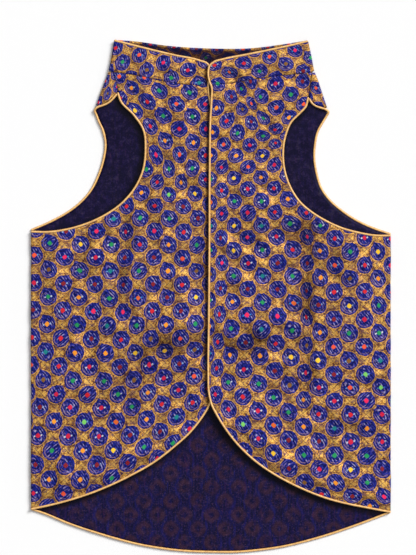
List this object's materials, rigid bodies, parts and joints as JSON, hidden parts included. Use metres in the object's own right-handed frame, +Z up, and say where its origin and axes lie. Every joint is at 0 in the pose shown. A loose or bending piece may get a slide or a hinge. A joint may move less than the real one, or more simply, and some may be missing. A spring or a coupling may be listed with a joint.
{
  "type": "waistcoat",
  "caption": "Sleeveless brocade waistcoat with a standing collar and rounded cutaway fronts that lap at the centre, laid flat and edged with satin piping.",
  "frame": {"origin": "middle of the garment's outline, on the surface it lies on", "axes": "+X across the garment to the front that laps on top, +Y from the hem to the collar, +Z up from the surface"},
  "size_m": [0.5001, 0.7121, 0.0091],
  "materials": {
    "brocade": "figured silk brocade, gold ground with blue roundels, soft sheen",
    "lining": "navy jacquard lining, low sheen",
    "piping": "gold satin, soft highlight"
  },
  "bodies": {
    "root": {"back": "brocade", "back_lining": "lining", "collar": "brocade", "front_left": "brocade", "front_right": "brocade", "piping_front_left": "piping", "piping_front_right": "piping", "piping_armhole_left_front": "piping", "piping_armhole_left_back": "piping", "piping_armhole_right_front": "piping", "piping_armhole_right_back": "piping", "piping_hem_back": "piping"}
  },
  "joints": []
}
